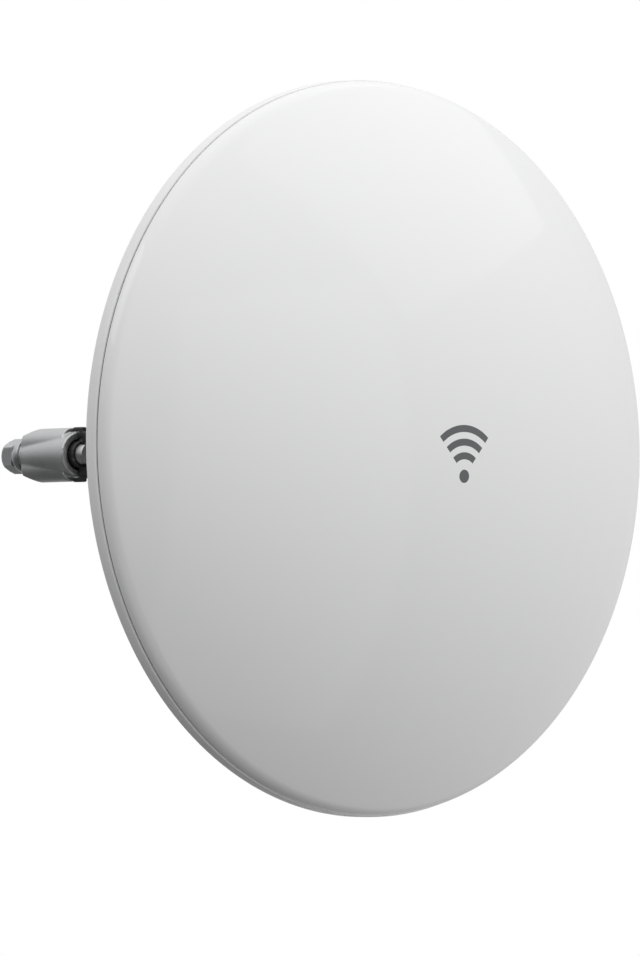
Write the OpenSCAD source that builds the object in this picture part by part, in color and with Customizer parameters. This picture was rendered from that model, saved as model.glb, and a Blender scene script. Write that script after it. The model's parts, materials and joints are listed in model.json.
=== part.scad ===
// Outdoor wireless bridge: a dish antenna under a domed cover, tilting on a clamp for a round pole.
// The origin is on the pole's axis, at the middle of the clamp. +Z runs up the pole and the dish
// looks along -Y. The head's own pieces are drawn in head_frame(): x to the right, y up, and z
// forwards from the seam between the dome and the rear shell.

/* [Dish] */
// Diameter over the rim of the rear shell
dish_d = 189; // [186:0.5:192]
// Height of the dome above the seam
dome_h = 35; // [33:0.5:37]
// Radius that rounds the dome's outer edge
dome_edge_r = 5; // [4:0.5:6]
// Depth of the rim band behind the seam
rim_band = 4.2; // [4:0.1:4.6]
// Depth of the reflector's bowl
bowl_depth = 45; // [44:0.5:46]
// Wall of the plastic mouldings
wall = 2; // [1.8:0.1:2.2]
// Thickness of the metal reflector
reflector_t = 1; // [0.8:0.1:1.2]

/* [Feed] */
// Outer radius of the feed tube
feed_r = 11.8; // [11:0.1:12]
// Height of the feed tube's front end, from the seam plane
feed_front = -8; // [-10:0.5:-6]
// Radius of the sub-reflector
sub_r = 17; // [15:0.5:19]

/* [Rear housing] */
// Outer radius of the round part
housing_r = 41; // [40:0.5:42]
// Depth of the rear face behind the seam plane
housing_back = 62; // [62:0.1:62.4]
// Width of the port bay
bay_w = 38; // [37:0.5:39]
// Depth of the bay's floor below the dish axis
bay_floor = 46; // [46:0.5:48]
// How far the port door slides down
door_travel = 30; // [20:1:32]

/* [Tilt joint] */
// Height of the tilt pivot above the clamp's middle
pivot_z = 16; // [15.5:0.1:17]
// Distance of the tilt pivot in front of the pole's axis
pivot_y = 27.5; // [27:0.1:27.8]
// Radius of the pivot bolt
pivot_bolt_r = 3; // [2.8:0.1:3]
// Width of the tongue that fits between the bracket's cheeks
tongue_w = 12; // [11:0.1:12.4]
// Radius of the lock knob
knob_r = 9; // [8:0.5:9.5]

/* [Pole clamp] */
// Diameter of the pole that the clamp grips
pole_d = 30; // [29:0.1:30.2]
// Height of the clamp along the pole
clamp_h = 14.4; // [14.2:0.1:15]
// Distance of each clamp bolt from the pole's axis
bolt_x = 20; // [19.8:0.1:20.5]
// Length of the clamp bolts under the head
bolt_len = 21; // [21:0.1:21.4]
// Distance from the pole's axis forward to the seam plane
stand_off = 101; // [101:0.1:102]

/* [Hidden] */
$fn = 96;

EPS = 0.01;
CUT = 1;

// Dish
seam_gap = 0.4;
rim_r = dish_d / 2;
dome_r = rim_r - 0.3;
spigot_r = rim_r - 1.9;
spigot_t = 1.7;
spigot_depth = 2.6;
bowl_r = rim_r - 4.5;
bowl_steps = 18;
liner_gap = 0.3;
shell_offset = reflector_t + liner_gap;
land_z = -43;
land_r = housing_r + 2.5;
shell_hole_depth = 3.4;
feed_hole_r = feed_r + 0.4;
flange_low = -43;
flange_top = -41;
flange_r = 18;
tube_back = -47.2;
feed_screw_ring = 15;
feed_clear_r = 1.6;
cap_collar = 2;
cap_flare = 10;
channel_z = -3;
channel_gap = 0.4;
rim_inner_r = rim_r - 1.7;

// Rear housing
rear_wall = 3;
housing_front = -land_z + 0.3;
housing_len = housing_back - housing_front;
inner_r = housing_r - wall;
inner_back = housing_back - rear_wall;
bay_inner_w = bay_w - 2 * wall;
ceiling_y = -23.4;
ceiling_t = 1.6;
post_x = 26.5;
post_y = 26;
post_r = 3.8;
case_screw_r = 1.5;
counterbore_r = 3.2;
counterbore_depth = 2.4;
standoff_r = 2.8;
arm_boss_r = 3;
arm_boss_h = 4.5;
bay_wall_low = -45.25;
bay_wall_high = -22.75;
bay_wall_back = -inner_back - 0.05;
bay_wall_front = bay_wall_back + 13.1;
groove_back = 60;
groove_front = 61.2;
slot_back = 60.95;
window_w = 26.8;
window_low = -42;
window_high = -25.5;
board_hole_r = 1.3;

// Radio board and what stands on it
board_back = 53;
board_t = 1.6;
board_r = 36;
board_low = -22;
standoff_x = 29;
standoff_y = 12;
jack_w = 16;
jack_back = 58.6;
jack_h = 11;
jack_mouth = -25;
jack_len = 19;
port_w = 11.9;
port_h = 6.7;
port_depth = 12.5;
port_back = 56.6;
button_x = 13.5;
button_back = 55.5;
button_r = 1.6;
pipe_x = [20, 24, 28];
pipe_y = -20;
ground_at = [-22.5, -20];
vent_at = [-31, 0];

// Port door
door_w = 28.2;
door_tongue_w = 31.2;
door_top = -14.2;
slide_gap = 0.15;
door_gap = 0.2;
grommet_back = 52;
grommet_r = 5.4;
grommet_flange_r = 6.5;
cable_r = 3.1;

// Tilt joint
arm_plate_t = 3;
arm_plate_w = 24.8;
arm_plate_low = -7;
arm_plate_high = 36;
arm_screw_x = 9.3;
arm_screw_y = [-3, 32];
pivot_end_r = 8;
washer_t = 1;
cheek_in = tongue_w / 2 + washer_t + 0.1;
cheek_t = 4;
cheek_out = cheek_in + cheek_t;
lock_washer_t = 1.2;
knob_h = 11;
knob_seat = cheek_out + lock_washer_t + 0.15;
insert_r = 4.6;

// Pole clamp
grip_r = pole_d / 2 + 0.1;
saddle_w = 28;
saddle_front = 20;
saddle_back = 9;
arm_in = 10;
arm_out = 20.2;
arm_front = 15;
arm_back = 11.2;
arm_h = 11.6;
hook_in = 18.6;
hook_out = 20.4;
hook_front = 12.6;
hook_tip = 8.8;
hook_low = 4.6;
finger_low = 6.15;
nose_r = 3.55;
nose_front = 12.4;
nose_back = 4.6;
sleeve_r = 2.9;
sleeve_front = 15.3;
cup_out_r = 5.8;
cup_r = 3.9;
cup_depth = 7;
jaw_front = 10.9;
jaw_back = 7.7;
jaw_back_r = 4.3;
block_r = 3.8;
block_z = 7.05;
block_front = 8.4;
bevel = [[2.83, 7.3], [jaw_back, 5.2]];
spot_r = 5;
arch_t = 3.8;
arch_h = 10.4;
arch_front = 3;
rib_x = 6;
rib_z = 3;
rib_reach = 6;
bolt_r = 2.5;
bolt_seat = 8.6;
flange_t = 2.8;
hex_across = 8;
hex_h = 4;
groove_n = 5;

function bowl_z(r) = -bowl_depth * (1 - pow(r / bowl_r, 2));
function bowl_curve(r0, r1, drop) =
    [for (i = [0 : bowl_steps]) let (r = r0 + (r1 - r0) * i / bowl_steps) [r, bowl_z(r) - drop]];
function bowl_radius(z, drop) = bowl_r * sqrt(1 + (z + drop) / bowl_depth);
function corner(cx, cz, r, a0, a1) =
    [for (i = [0 : 6]) let (a = a0 + (a1 - a0) * i / 6) [cx + r * cos(a), cz + r * sin(a)]];

module head_frame() {
    translate([0, -stand_off, 0]) rotate([90, 0, 0]) children();
}

// Puts a piece drawn along +z on the tilt pivot, with +z towards +X
module pivot_frame() {
    translate([0, -pivot_y, pivot_z]) rotate([0, 90, 0]) children();
}

// Puts a piece drawn along +z on a clamp bolt's axis, with +z towards the back, +Y
module bolt_frame(x) {
    translate([x, 0, 0]) rotate([-90, 0, 0]) children();
}

module ring(r_out, r_in, h) {
    difference() {
        cylinder(r = r_out, h = h);
        translate([0, 0, -CUT]) cylinder(r = r_in, h = h + 2 * CUT);
    }
}

module box_between(low, high) {
    translate(low) cube(high - low);
}

module hexagon(across) {
    circle(r = across / sqrt(3), $fn = 6);
}

// A hexagonal head whose free end, at z = h, has its corners turned off
module hex_head(across, h) {
    intersection() {
        linear_extrude(h) hexagon(across);
        cylinder(r1 = across / 2 + h, r2 = across / 2 - 0.2, h = h, $fn = 64);
    }
}

// A cross-head screw drawn head down: the head is below z = 0 and the shank runs up
module pan_screw(shank_r, shank_len, head_r, head_h) {
    cylinder(r = shank_r, h = shank_len, $fn = 32);
    difference() {
        translate([0, 0, -head_h]) cylinder(r1 = head_r * 0.8, r2 = head_r, h = head_h, $fn = 48);
        for (a = [0, 90])
            rotate([0, 0, a])
                translate([-head_r * 0.55, -0.3, -head_h - CUT]) cube([head_r * 1.1, 0.6, CUT + 0.9]);
    }
}

module rounded_rect(w, h, r) {
    square([w - 2 * r, h], center = true);
    square([w, h - 2 * r], center = true);
    for (x = [-1, 1], y = [-1, 1])
        translate([x * (w / 2 - r), y * (h / 2 - r)]) circle(r);
}

// Two circles joined by their outer tangents
module tapered_bar(p1, r1, p2, r2) {
    d = p2 - p1;
    along = atan2(d.y, d.x);
    swing = acos((r1 - r2) / norm(d));
    translate(p1) circle(r1);
    translate(p2) circle(r2);
    polygon([
        p1 + r1 * [cos(along + swing), sin(along + swing)],
        p2 + r2 * [cos(along + swing), sin(along + swing)],
        p2 + r2 * [cos(along - swing), sin(along - swing)],
        p1 + r1 * [cos(along - swing), sin(along - swing)]
    ]);
}

// Half section of the dome: a spherical cap that runs smoothly into a rounded edge
module dome_section(r, h, edge) {
    cap_r = (pow(r - edge, 2) + h * h - edge * edge) / (2 * (h - edge));
    lean = atan2(r - edge, cap_r - h);
    tip = [(cap_r + 2) * sin(lean), h - cap_r + (cap_r + 2) * cos(lean)];
    intersection() {
        translate([0, h - cap_r]) circle(cap_r, $fn = 360);
        polygon([[0, 0], [r - edge, 0], tip, [tip.x, h + 2], [0, h + 2]]);
    }
    intersection() {
        translate([r - edge, 0]) circle(edge);
        polygon([[r - edge, 0], [r + 1, 0], [r + 1, tip.y], tip]);
    }
}

module radome() color("whitesmoke") head_frame() {
    base = seam_gap / 2;
    rotate_extrude($fn = 180) {
        translate([0, base])
            difference() {
                dome_section(dome_r, dome_h - base, dome_edge_r);
                dome_section(dome_r - wall, dome_h - base - wall, dome_edge_r - wall);
            }
        translate([spigot_r - spigot_t, -spigot_depth]) square([spigot_t, spigot_depth + wall]);
    }
}

module seam_gasket() color("dimgray") head_frame() {
    width = 1;
    outer_r = rim_r - 0.6;
    translate([0, 0, -seam_gap / 2]) ring(outer_r, outer_r - width, seam_gap);
}

module reflector() color("silver") head_frame() {
    outer_r = bowl_r;
    difference() {
        rotate_extrude($fn = 180)
            polygon(concat(
                bowl_curve(feed_hole_r, outer_r, 0),
                bowl_curve(outer_r, feed_hole_r, reflector_t)
            ));
        feed_screw_holes(feed_clear_r);
    }
}

module rear_shell() color("white") head_frame() {
    back_offset = shell_offset + wall;
    band_in = bowl_radius(-rim_band, back_offset);
    difference() {
        rotate_extrude($fn = 180)
            polygon(concat(
                [[rim_inner_r, -seam_gap / 2], [rim_inner_r, channel_z]],
                [[bowl_r + channel_gap, channel_z], [bowl_r + channel_gap, -shell_offset]],
                bowl_curve(bowl_r, feed_hole_r, shell_offset),
                bowl_curve(feed_hole_r, bowl_radius(land_z, back_offset), back_offset),
                [[land_r, land_z]],
                bowl_curve(land_r, band_in, back_offset),
                corner(rim_r - 1, 1 - rim_band, 1, -90, 0),
                [[rim_r, -seam_gap / 2]]
            ));
        feed_screw_holes(case_screw_r + 0.05);
        housing_screw_places()
            translate([0, 0, land_z - CUT]) cylinder(r = case_screw_r + 0.05, h = CUT + shell_hole_depth);
    }
}

module feed_screw_places() {
    for (a = [30, 150, 270])
        rotate([0, 0, a]) translate([feed_screw_ring, 0, 0]) children();
}

module feed_screw_holes(r) {
    feed_screw_places() translate([0, 0, -60]) cylinder(r = r, h = 30);
}

module housing_screw_places() {
    for (x = [-post_x, post_x], y = [-post_y, post_y])
        translate([x, y, 0]) children();
}

module feed_tube() color("gainsboro") head_frame() {
    difference() {
        union() {
            translate([0, 0, tube_back]) cylinder(r = feed_r, h = feed_front - tube_back);
            translate([0, 0, flange_low]) cylinder(r = flange_r, h = flange_top - flange_low);
        }
        translate([0, 0, tube_back - CUT]) cylinder(r = feed_r - wall, h = 60);
        feed_screw_holes(feed_clear_r);
    }
}

module feed_screws() color("silver") head_frame() {
    feed_screw_places()
        translate([0, 0, flange_top]) rotate([180, 0, 0]) pan_screw(case_screw_r, 6, 2.7, 1.8);
}

// Upright board with the radiating elements, which plugs into the radio board
module feed_board() color("darkgreen") head_frame() {
    half_w = 8;
    half_t = 0.5;
    into_cap = 4;
    box_between([-half_w, -half_t, -(board_back - board_t) + 0.1],
                [half_w, half_t, feed_front + into_cap]);
}

module feed_cap() color("ivory") head_frame() {
    difference() {
        union() {
            translate([0, 0, feed_front]) cylinder(r = feed_r + 1, h = cap_collar);
            translate([0, 0, feed_front + cap_collar])
                cylinder(r1 = feed_r + 1, r2 = sub_r, h = cap_flare);
        }
        translate([0, 0, feed_front - CUT]) cylinder(r = feed_r - wall, h = cap_flare + CUT);
    }
}

module sub_reflector() color("silver") head_frame() {
    base = feed_front + cap_collar + cap_flare;
    translate([0, 0, base])
        rotate_extrude() polygon([[0, 0], [sub_r, 0], [sub_r, 1], [sub_r - 1, 1.5], [3, 2.5], [0, 2.5]]);
}

// Outline of the rear housing seen from behind: a round body with the port bay below it
module housing_outline(inset) {
    circle(r = housing_r - inset, $fn = 180);
    translate([0, -bay_floor / 2])
        rounded_rect(bay_w - 2 * inset, bay_floor - 2 * inset, max(5 - inset, 1));
}

module rear_housing() color("whitesmoke") head_frame() difference() {
    union() {
        difference() {
            translate([0, 0, -housing_back]) linear_extrude(housing_len) housing_outline(0);
            translate([0, 0, -inner_back])
                linear_extrude(inner_back - housing_front - wall) housing_outline(wall);
            translate([0, 0, -housing_front - wall - CUT])
                cylinder(r = inner_r - 0.5, h = wall + 3 * CUT, $fn = 180);
        }
        // Ceiling of the port bay
        box_between([-inner_r + 8, ceiling_y - ceiling_t, -inner_back - EPS],
                    [inner_r - 8, ceiling_y, -housing_front - 2]);
        // Side walls of the port bay
        for (s = [-1, 1])
            translate([s * (bay_inner_w + wall) / 2 - wall / 2, 0, 0])
                box_between([0, bay_wall_low, bay_wall_back], [wall, bay_wall_high, bay_wall_front]);
        housing_screw_places()
            translate([0, 0, -inner_back - EPS]) cylinder(r = post_r, h = inner_back - housing_front);
        for (x = [-standoff_x, standoff_x], y = [-standoff_y, standoff_y])
            translate([x, y, -inner_back - EPS]) cylinder(r = standoff_r, h = inner_back - board_back);
        for (x = [-arm_screw_x, arm_screw_x], y = arm_screw_y)
            translate([x, y, -inner_back - EPS]) cylinder(r = arm_boss_r, h = arm_boss_h);
    }
    housing_cuts();
}

module housing_cuts() {
    // Jack and reset button through the ceiling
    box_between([-jack_w / 2 - 0.1, ceiling_y - ceiling_t - CUT, -jack_back - 0.1],
                [jack_w / 2 + 0.1, ceiling_y + CUT, -jack_back + jack_h + 0.1]);
    translate([button_x, ceiling_y + CUT, -button_back]) rotate([90, 0, 0])
        cylinder(r = button_r + 0.1, h = ceiling_t + 2 * CUT);
    // Grooves that hold the port door, open at the bottom
    below = -bay_floor - 14;
    box_between([-door_w / 2 - door_gap, below, -housing_back - CUT],
                [door_w / 2 + door_gap, door_top + door_gap, -slot_back]);
    box_between([-door_tongue_w / 2 - door_gap, below, -groove_front],
                [door_tongue_w / 2 + door_gap, door_top + door_gap, -groove_back]);
    box_between([-window_w / 2, window_low, -housing_back - CUT],
                [window_w / 2, window_high, -inner_back + CUT]);
    // Notch for the cable grommet
    translate([0, -bay_floor - CUT, -grommet_back]) rotate([-90, 0, 0])
        cylinder(r = grommet_r + 0.1, h = wall + 2 * CUT);
    box_between([-grommet_r - 0.1, -bay_floor - CUT, -housing_back - CUT],
                [grommet_r + 0.1, -bay_floor + wall + CUT, -grommet_back]);
    // Screws that hold the housing, the board and the tilt arm
    housing_screw_places() translate([0, 0, -housing_back - CUT]) {
        cylinder(r = case_screw_r + 0.1, h = 40);
        cylinder(r = counterbore_r, h = CUT + counterbore_depth);
    }
    for (x = [-standoff_x, standoff_x], y = [-standoff_y, standoff_y])
        translate([x, y, -inner_back + 1]) cylinder(r = board_hole_r, h = 10);
    for (x = [-arm_screw_x, arm_screw_x], y = arm_screw_y)
        translate([x, y, -housing_back - CUT]) cylinder(r = case_screw_r + 0.05, h = 8);
    // Light pipes, ground screw and vent in the rear wall
    for (x = pipe_x) translate([x, pipe_y, -housing_back - CUT]) cylinder(r = 1.1, h = 8);
    translate([ground_at.x, ground_at.y, -housing_back - CUT]) cylinder(r = 2.05, h = 8);
    translate([vent_at.x, vent_at.y, -housing_back - CUT]) cylinder(r = 3.1, h = 8);
    // Groove for the gasket in the front edge
    translate([0, 0, -housing_front - 0.6]) ring(inner_r + 1.6, inner_r + 0.4, 2);
}

module housing_gasket() color("dimgray") head_frame() {
    translate([0, 0, -housing_front - 0.6]) ring(inner_r + 1.5, inner_r + 0.5, 0.9);
}

module housing_screws() color("silver") head_frame() {
    housing_screw_places()
        translate([0, 0, -housing_back + counterbore_depth]) pan_screw(case_screw_r, 19, 2.9, 1.9);
}

module radio_board() color("darkgreen") head_frame() {
    translate([0, 0, -board_back])
        linear_extrude(board_t)
            difference() {
                intersection() {
                    circle(r = board_r);
                    translate([-board_r, board_low]) square([2 * board_r, 2 * board_r]);
                }
                translate([-jack_w / 2 - 0.2, jack_mouth])
                    square([jack_w + 0.4, jack_len + 0.2]);
                for (x = [-post_x, post_x], y = [-post_y, post_y]) translate([x, y]) circle(r = 4.3);
                for (x = [-standoff_x, standoff_x], y = [-standoff_y, standoff_y])
                    translate([x, y]) circle(r = 1.4);
            }
}

module board_screws() color("silver") head_frame() {
    for (x = [-standoff_x, standoff_x], y = [-standoff_y, standoff_y])
        translate([x, y, -board_back + board_t]) rotate([180, 0, 0]) pan_screw(1.25, 6, 2.2, 1.5);
}

module shield_cans() color("silver") head_frame() {
    can_h = 3.1;
    for (s = [-1, 1])
        translate([s * 11.5, 15, -board_back - can_h])
            difference() {
                linear_extrude(can_h) rounded_rect(21, 20, 1);
                translate([0, 0, 0.4]) linear_extrude(can_h) rounded_rect(20.2, 19.2, 0.6);
            }
}

// Finned plate that takes the heat of the two cans to the rear wall
module heat_spreader() color("darkgray") head_frame() {
    box_between([-22, 5, -57.2], [22, 25, -56.15]);
    for (i = [0 : 7])
        box_between([-20 + i * 5.6, 5, -58.8], [-19.2 + i * 5.6, 25, -57.2 + EPS]);
}

module transformer() color("black") head_frame() {
    box_between([-25.5, -16, -58.4], [-12.5, -3, -board_back]);
}

module capacitors() color("midnightblue") head_frame() {
    for (x = [17, 24.5]) translate([x, -6.5, -58.4]) cylinder(r = 3.4, h = 58.4 - board_back);
}

module ethernet_jack() color("dimgray") head_frame() difference() {
    box_between([-jack_w / 2, jack_mouth, -jack_back],
                [jack_w / 2, jack_mouth + jack_len, -jack_back + jack_h]);
    box_between([-port_w / 2, jack_mouth - CUT, -port_back],
                [port_w / 2, jack_mouth + port_depth, -port_back + port_h]);
    box_between([-3, jack_mouth - CUT, -port_back + port_h - EPS],
                [3, jack_mouth + port_depth, -port_back + port_h + 1.3]);
}

// Eight spring wires on the rear wall of the jack's socket
module jack_contacts() color("gold") head_frame() {
    pitch = 1.02;
    for (i = [0 : 7])
        box_between([(i - 3.5) * pitch - 0.2, jack_mouth + 1.5, -port_back],
                    [(i - 3.5) * pitch + 0.2, jack_mouth + port_depth, -port_back + 0.4]);
}

module light_pipes() color("lightcyan") head_frame() {
    for (x = pipe_x)
        translate([x, pipe_y, -housing_back]) cylinder(r = 1, h = housing_back - board_back, $fn = 32);
}

module reset_switch() color("darkslategray") head_frame() difference() {
    box_between([button_x - 2, -20.4, -57], [button_x + 2, -17.4, -board_back]);
    translate([button_x, -17.9, -button_back]) rotate([90, 0, 0]) cylinder(r = 0.8, h = 4, $fn = 32);
}

module reset_button() color("crimson") head_frame() {
    translate([button_x, 0, -button_back]) rotate([90, 0, 0]) {
        translate([0, 0, 19.4]) cylinder(r = 0.7, h = 4, $fn = 32);
        translate([0, 0, 22.3]) cylinder(r = 2.1, h = 0.8, $fn = 48);
        translate([0, 0, 22.4]) cylinder(r = button_r, h = 5, $fn = 48);
    }
}

module cable_grommet() color("black") head_frame() difference() {
    floor_top = -bay_floor + wall;
    union() {
        translate([0, -bay_floor - 1.5, -grommet_back]) rotate([-90, 0, 0]) {
            cylinder(r = grommet_flange_r, h = 1.5);
            translate([0, 0, 1]) cylinder(r = grommet_r, h = wall + 1);
            translate([0, 0, 1.5 + wall]) cylinder(r = grommet_flange_r, h = 1.4);
        }
        box_between([-grommet_r, -bay_floor, -59.8], [grommet_r, floor_top, -grommet_back]);
    }
    translate([0, -bay_floor - 5, -grommet_back]) rotate([-90, 0, 0]) cylinder(r = cable_r, h = 12);
}

module port_door() color("gainsboro") head_frame() {
    low = -bay_floor - 0.4;
    rib_half_w = 8;
    rib_pitch = 2.2;
    rib_h = 0.6;
    box_between([-door_w / 2, low, -housing_back], [door_w / 2, door_top, -slot_back - 0.05]);
    box_between([-door_tongue_w / 2, low, -groove_front + slide_gap],
                [door_tongue_w / 2, door_top, -groove_back - slide_gap]);
    for (i = [0 : 3])
        translate([0, -bay_floor + 1.5 + i * rib_pitch, 0])
            box_between([-rib_half_w, 0, -housing_back - rib_h], [rib_half_w, 1, -housing_back + EPS]);
}

module ground_screw() color("goldenrod") head_frame() {
    translate([ground_at.x, ground_at.y, -housing_back - 0.8]) pan_screw(1.95, 6.5, 3.6, 2.4);
}

module ground_washer() color("silver") head_frame() {
    translate([ground_at.x, ground_at.y, -housing_back - 0.8]) ring(4.4, 2.1, 0.8);
}

// Breather plug with slots round its cap
module vent_plug() color("black") head_frame() translate([vent_at.x, vent_at.y, -housing_back]) {
    cylinder(r = 3, h = 3);
    difference() {
        translate([0, 0, -1.6]) cylinder(r1 = 4.4, r2 = 5, h = 1.6);
        for (a = [0 : 60 : 300])
            rotate([0, 0, a]) translate([3.4, -0.4, -1.1]) cube([3, 0.8, CUT]);
    }
}

module tilt_arm() color("darkgray") difference() {
    plate_y = -(stand_off - housing_back);
    union() {
        box_between([-arm_plate_w / 2, plate_y, arm_plate_low],
                    [arm_plate_w / 2, plate_y + arm_plate_t, arm_plate_high]);
        translate([-tongue_w / 2, 0, 0]) rotate([90, 0, 90]) linear_extrude(tongue_w) {
            translate([-pivot_y, pivot_z]) circle(pivot_end_r);
            polygon([
                [plate_y + 1, pivot_z - 16], [-pivot_y - 2, pivot_z - 7.5],
                [-pivot_y - 2, pivot_z + 7.5], [plate_y + 1, pivot_z + 16]
            ]);
        }
    }
    translate([-tongue_w, 0, 0]) pivot_frame() cylinder(r = pivot_bolt_r + 0.05, h = 2 * tongue_w);
    for (x = [-arm_screw_x, arm_screw_x], z = arm_screw_y)
        translate([x, plate_y - CUT, z]) rotate([-90, 0, 0])
            cylinder(r = case_screw_r + 0.1, h = arm_plate_t + 2 * CUT);
}

module tilt_arm_screws() color("silver") {
    for (x = [-arm_screw_x, arm_screw_x], z = arm_screw_y)
        translate([x, arm_plate_t - (stand_off - housing_back), z]) rotate([90, 0, 0])
            pan_screw(case_screw_r, 8, 2.7, 2);
}

module tilt_washers() color("dimgray") {
    for (x = [-cheek_in + 0.05, cheek_in - 0.05 - washer_t])
        translate([x, 0, 0]) pivot_frame() ring(7.5, pivot_bolt_r + 0.1, washer_t);
}

module pivot_bolt() color("silver") {
    head_h = 4;
    tip = cheek_out + lock_washer_t + knob_h - 0.8;
    translate([-cheek_out, 0, 0]) pivot_frame() {
        cylinder(r = pivot_bolt_r, h = cheek_out + tip);
        translate([0, 0, -0.1]) rotate([180, 0, 30]) hex_head(10, head_h);
        translate([0, 0, -0.2]) cylinder(r = pivot_bolt_r, h = 1);
    }
}

module lock_washer() color("silver") {
    translate([cheek_out + 0.1, 0, 0]) pivot_frame() ring(7, pivot_bolt_r + 0.08, lock_washer_t);
}

module lock_knob() color("black") {
    lobes = 8;
    translate([knob_seat, 0, 0]) pivot_frame() difference() {
        union() {
            cylinder(r = 6.6, h = 2);
            translate([0, 0, 2])
                linear_extrude(knob_h - 2)
                    difference() {
                        circle(knob_r);
                        for (i = [0 : lobes - 1])
                            rotate(i * 360 / lobes) translate([knob_r + 1.4, 0]) circle(2.2);
                    }
        }
        translate([0, 0, -CUT]) cylinder(r = insert_r + 0.02, h = knob_h + 2 * CUT);
    }
}

module knob_insert() color("goldenrod") {
    translate([knob_seat, 0, 0]) pivot_frame() ring(insert_r, pivot_bolt_r + 0.06, knob_h - 0.6);
}

// Axial grooves that leave gripping teeth on the face that meets the pole
module grip_grooves(facing) {
    for (i = [0 : groove_n - 1])
        rotate([0, 0, facing + (i - (groove_n - 1) / 2) * 18])
            translate([grip_r, 0, 0]) cube([1, 1.2, 2 * clamp_h], center = true);
}

module pole_bracket() color("black") difference() {
    union() {
        box_between([-saddle_w / 2, -saddle_front, -clamp_h / 2],
                    [saddle_w / 2, -saddle_back, clamp_h / 2]);
        for (s = [-1, 1]) {
            translate([s * (cheek_in + cheek_t / 2) - cheek_t / 2, 0, 0]) cheek();
            clamp_arm(s);
        }
    }
    cylinder(r = grip_r, h = 80, center = true, $fn = 180);
    grip_grooves(-90);
    for (s = [-1, 1]) bolt_frame(s * bolt_x) {
        translate([0, 0, -30]) cylinder(r = sleeve_r + 0.02, h = 30);
    }
    translate([-2 * cheek_out, 0, 0]) pivot_frame() cylinder(r = pivot_bolt_r + 0.1, h = 4 * cheek_out);
}

// Arm beside the clamp bolt. Its nose holds the threaded sleeve inside the jaw's cup, and the
// hooks above and below the cup keep the jaw from twisting.
module clamp_arm(s) {
    translate([s * (arm_out + arm_in) / 2, -(arm_back + arm_front) / 2, 0])
        cube([arm_out - arm_in, arm_front - arm_back, arm_h], center = true);
    bolt_frame(s * bolt_x) translate([0, 0, -nose_front]) cylinder(r = nose_r, h = nose_front - nose_back);
    for (up = [0, 180])
        rotate([0, up, 0]) translate([(up == 0 ? s : -s) * (hook_in + hook_out) / 2, 0, 0])
            rotate([90, 0, 90]) linear_extrude(hook_out - hook_in, center = true)
                polygon([
                    [-hook_front, hook_low], [-arm_back, hook_low], [-arm_back, finger_low],
                    [-hook_tip, finger_low], [-hook_tip, clamp_h / 2], [-hook_front, clamp_h / 2]
                ]);
}

// Side plate that carries the tilt pivot
module cheek() {
    rotate([90, 0, 90]) linear_extrude(cheek_t)
        tapered_bar([-pivot_y, pivot_z], pivot_end_r, [1.4 - saddle_front, 3], 5);
}

// Threaded sleeves with a closed front end
module clamp_inserts() color("silver") {
    for (s = [-1, 1])
        bolt_frame(s * bolt_x) difference() {
            translate([0, 0, -sleeve_front]) cylinder(r = sleeve_r, h = sleeve_front - nose_back - 0.3);
            translate([0, 0, -sleeve_front + 0.8]) cylinder(r = bolt_r + 0.05, h = sleeve_front);
        }
}

module clamp_jaw() color("gray") difference() {
    side_in = pole_d / 2 + 0.3;
    union() {
        for (s = [-1, 1]) {
            jaw_block(s);
            bolt_frame(s * bolt_x) translate([0, 0, -jaw_front])
                cylinder(r1 = cup_out_r, r2 = jaw_back_r, h = jaw_front + jaw_back - EPS);
        }
        intersection() {
            cylinder(r = grip_r + arch_t, h = arch_h, center = true, $fn = 180);
            translate([-25, arch_front, -arch_h]) cube([50, 30, 2 * arch_h]);
        }
        box_between([-rib_x, grip_r + 1, -rib_z], [rib_x, grip_r + rib_reach, rib_z]);
    }
    cylinder(r = grip_r, h = 80, center = true, $fn = 180);
    box_between([-side_in, -20, -20], [side_in, 0, 20]);
    grip_grooves(90);
    for (s = [-1, 1]) bolt_frame(s * bolt_x) {
        translate([0, 0, -20]) cylinder(r = bolt_r + 0.25, h = 40);
        translate([0, 0, -jaw_front - CUT]) cylinder(r = cup_r, h = cup_depth + CUT);
        translate([0, 0, jaw_back - 2 * EPS]) cylinder(r = spot_r, h = 20);
    }
}

// Upright block round each clamp bolt, bevelled above and below towards the back
module jaw_block(s) {
    intersection() {
        translate([s * bolt_x, 0, 0]) rotate([-90, 0, 0]) translate([0, 0, -block_front])
            linear_extrude(block_front + jaw_back + CUT) {
                for (z = [-1, 1]) translate([0, z * (block_z - block_r)]) circle(block_r);
                square([2 * block_r, 2 * (block_z - block_r)], center = true);
            }
        translate([s * bolt_x, 0, 0]) rotate([90, 0, 90])
            linear_extrude(4 * block_r, center = true)
                polygon([
                    [-block_front - CUT, -bevel[0].y], [bevel[0].x, -bevel[0].y], [bevel[1].x, -bevel[1].y],
                    bevel[1], bevel[0], [-block_front - CUT, bevel[0].y]
                ]);
    }
}

module clamp_washers() color("silver") {
    for (s = [-1, 1])
        bolt_frame(s * bolt_x) translate([0, 0, jaw_back + 0.03]) ring(4.1, bolt_r + 0.2, 0.82);
}

module clamp_bolt(x) {
    bolt_frame(x) {
        translate([0, 0, bolt_seat - bolt_len]) cylinder(r1 = bolt_r - 0.4, r2 = bolt_r, h = 0.4);
        translate([0, 0, bolt_seat - bolt_len + 0.4]) cylinder(r = bolt_r, h = bolt_len);
        translate([0, 0, bolt_seat]) cylinder(r1 = 4.6, r2 = 4.3, h = flange_t);
        translate([0, 0, bolt_seat + flange_t - EPS]) rotate([0, 0, 30]) hex_head(hex_across, hex_h);
    }
}

module clamp_bolt_left() color("silver") clamp_bolt(-bolt_x);

module clamp_bolt_right() color("silver") clamp_bolt(bolt_x);

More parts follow.
